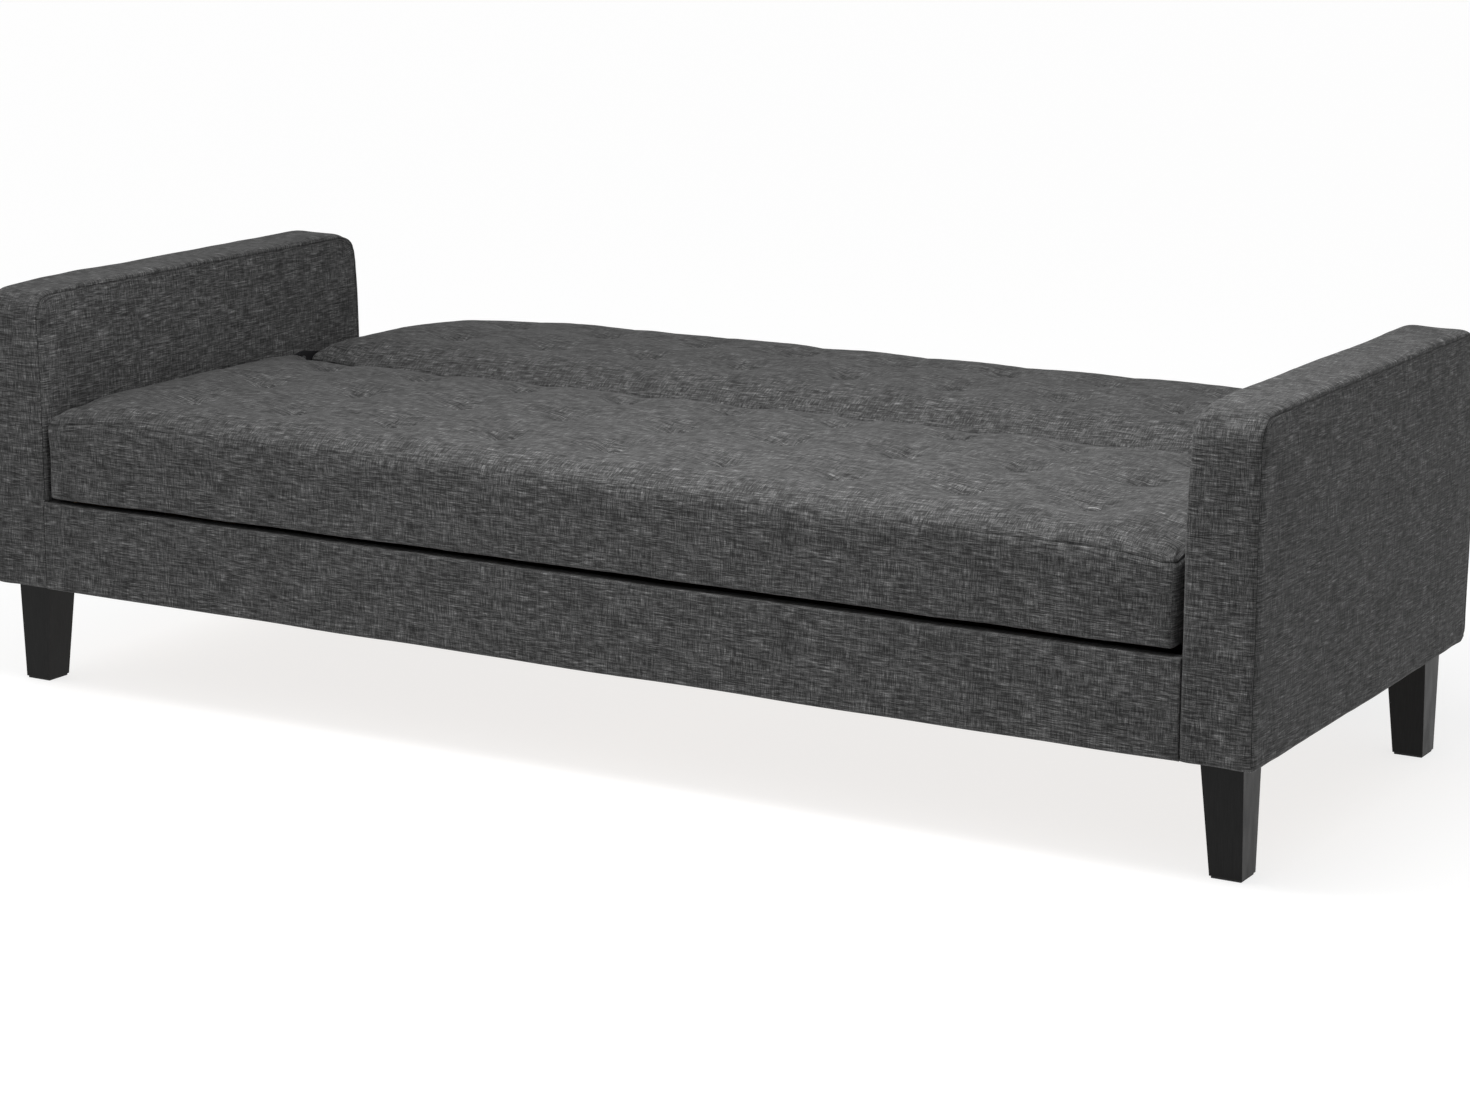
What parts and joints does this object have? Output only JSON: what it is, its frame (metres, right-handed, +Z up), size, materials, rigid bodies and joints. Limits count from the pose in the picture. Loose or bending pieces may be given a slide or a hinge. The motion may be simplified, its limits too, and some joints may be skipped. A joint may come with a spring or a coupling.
{
  "type": "futon sofa bed",
  "caption": "Click-clack futon sofa bed unfolded flat: tufted seat and backrest pads between slab arms, storage box under the lifting seat, tapered block legs.",
  "frame": {"origin": "on the floor, under the middle of the unfolded bed's bounding box", "axes": "+X along the length, to the right as seen from the front; -Y to the front, where the seat's front edge is; +Z up"},
  "size_m": [1.87, 1.045, 0.552],
  "materials": {
    "charcoal_fabric": "matte",
    "black_lining": "matte",
    "pine": "matte",
    "hardboard": "matte",
    "black_lacquered_wood": "satin",
    "zinc_steel": "satin",
    "black_steel": "satin",
    "black_rubber": "matte"
  },
  "bodies": {
    "base": {"arm_bolt_front_left": "zinc_steel", "arm_bolt_front_right": "zinc_steel", "arm_bolt_rear_left": "zinc_steel", "arm_bolt_rear_right": "zinc_steel", "arm_left_bottom_rail": "pine", "arm_left_cover": "charcoal_fabric", "arm_left_front_post": "pine", "arm_left_rear_post": "pine", "arm_left_top_rail": "pine", "arm_right_bottom_rail": "pine", "arm_right_cover": "charcoal_fabric", "arm_right_front_post": "pine", "arm_right_rear_post": "pine", "arm_right_top_rail": "pine", "box_side_left": "pine", "box_side_right": "pine", "floor_batten_centre": "pine", "floor_batten_front": "pine", "floor_batten_rear": "pine", "front_apron_board": "pine", "front_apron_cover": "charcoal_fabric", "hinge_bracket_left": "black_steel", "hinge_bracket_right": "black_steel", "leg_bolt_front_left": "zinc_steel", "leg_bolt_front_right": "zinc_steel", "leg_bolt_rear_left": "zinc_steel", "leg_bolt_rear_right": "zinc_steel", "leg_front_left": "black_lacquered_wood", "leg_front_right": "black_lacquered_wood", "leg_rear_left": "black_lacquered_wood", "leg_rear_right": "black_lacquered_wood", "pivot_pin_left": "zinc_steel", "pivot_pin_right": "zinc_steel", "rear_apron_board": "pine", "rear_apron_cover": "charcoal_fabric", "seat_buffer_left": "black_rubber", "seat_buffer_right": "black_rubber", "storage_floor": "hardboard"},
    "seat": {"seat_centre_rail": "pine", "seat_cushion": "charcoal_fabric", "seat_end_rail_left": "pine", "seat_end_rail_right": "pine", "seat_front_rail": "pine", "seat_hinge_arm_left": "black_steel", "seat_hinge_arm_right": "black_steel", "seat_rear_rail": "pine", "seat_underside_cloth": "black_lining"},
    "backrest": {"back_centre_rail": "pine", "back_cushion": "charcoal_fabric", "back_end_rail_left": "pine", "back_end_rail_right": "pine", "back_front_rail": "pine", "back_hinge_arm_left": "black_steel", "back_hinge_arm_right": "black_steel", "back_rear_rail": "pine", "back_underside_cloth": "black_lining"},
    "pawl_left": {"ratchet_pawl_left": "zinc_steel"},
    "pawl_right": {"ratchet_pawl_right": "zinc_steel"}
  },
  "joints": [
    {"name": "back_recline", "type": "hinge", "parent": "base", "child": "backrest", "pos_m": [0, 0.0605, 0.381], "axis": [1, 0, 0], "range_deg": [0, 75]},
    {"name": "seat_lift", "type": "hinge", "parent": "base", "child": "seat", "pos_m": [0, 0.0605, 0.381], "axis": [-1, 0, 0], "range_deg": [0, 45]},
    {"name": "ratchet_left", "type": "hinge", "parent": "base", "child": "pawl_left", "pos_m": [-0.8396, 0.07122, 0.35574], "axis": [-1, 0, 0], "range_deg": [0, 10]},
    {"name": "ratchet_right", "type": "hinge", "parent": "base", "child": "pawl_right", "pos_m": [0.8396, 0.07122, 0.35574], "axis": [-1, 0, 0], "range_deg": [0, 10]}
  ]
}
